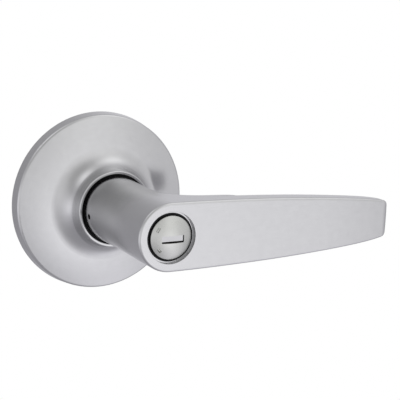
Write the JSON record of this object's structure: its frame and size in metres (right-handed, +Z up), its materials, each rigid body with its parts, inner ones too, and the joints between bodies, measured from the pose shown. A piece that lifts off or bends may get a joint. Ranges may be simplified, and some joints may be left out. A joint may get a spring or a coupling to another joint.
{
  "type": "door lever handle",
  "caption": "Outside half of a tubular privacy lever set: round rose, sprung lever with a tapering flat blade, slotted turn button and square drive spindle.",
  "frame": {"origin": "where the lever's turning axis meets the door face, at the middle of the rose's back edge", "axes": "+X along the blade towards its tip, +Y into the door, +Z up"},
  "size_m": [0.1222, 0.1226, 0.0666],
  "materials": {
    "satin_chrome": "satin chrome plate",
    "button_nickel": "satin nickel plate, a little warmer than the lever",
    "black_nylon": "moulded black nylon",
    "zinc_plate": "pressed steel, zinc plated",
    "bright_steel": "cold drawn bright steel",
    "spring_steel": "oil-tempered spring steel",
    "white_acetal": "natural acetal"
  },
  "bodies": {
    "mount": {"rose": "satin_chrome", "mounting_plate": "zinc_plate", "spring_cup": "zinc_plate", "cup_rivets": "zinc_plate", "rose_clips": "spring_steel", "hub_sleeve": "bright_steel", "neck_bushing": "black_nylon", "right_post": "zinc_plate", "left_post": "zinc_plate", "return_spring": "spring_steel"},
    "handle": {"lever": "satin_chrome", "spindle_tube": "bright_steel", "spring_driver": "zinc_plate", "spring_washer": "spring_steel", "driver_clip": "spring_steel", "thrust_washer": "white_acetal", "spindle_plug": "bright_steel", "drive_spindle": "zinc_plate", "button_bushing": "black_nylon", "catch_spring": "spring_steel"},
    "catch": {"lever_catch": "bright_steel"},
    "button": {"button_cap": "button_nickel", "button_core": "black_nylon", "button_clip": "spring_steel", "turn_bar": "bright_steel"}
  },
  "joints": [
    {"name": "lever_turn", "type": "hinge", "parent": "mount", "child": "handle", "pos_m": [0, 0, 0], "axis": [0, 1, 0], "range_deg": [-45, 45], "stiffness_Nm_per_rad": 1.2, "springref_deg": -2.98, "deforming": ["return_spring"]},
    {"name": "button_turn", "type": "hinge", "parent": "handle", "child": "button", "pos_m": [0, 0, 0], "axis": [0, 1, 0], "range_deg": [0, 90]},
    {"name": "catch_press", "type": "slide", "parent": "handle", "child": "catch", "axis": [0.9962, 0, 0.0872], "range_m": [0, 0.002], "stiffness_N_per_m": 400, "deforming": ["catch_spring"]}
  ]
}
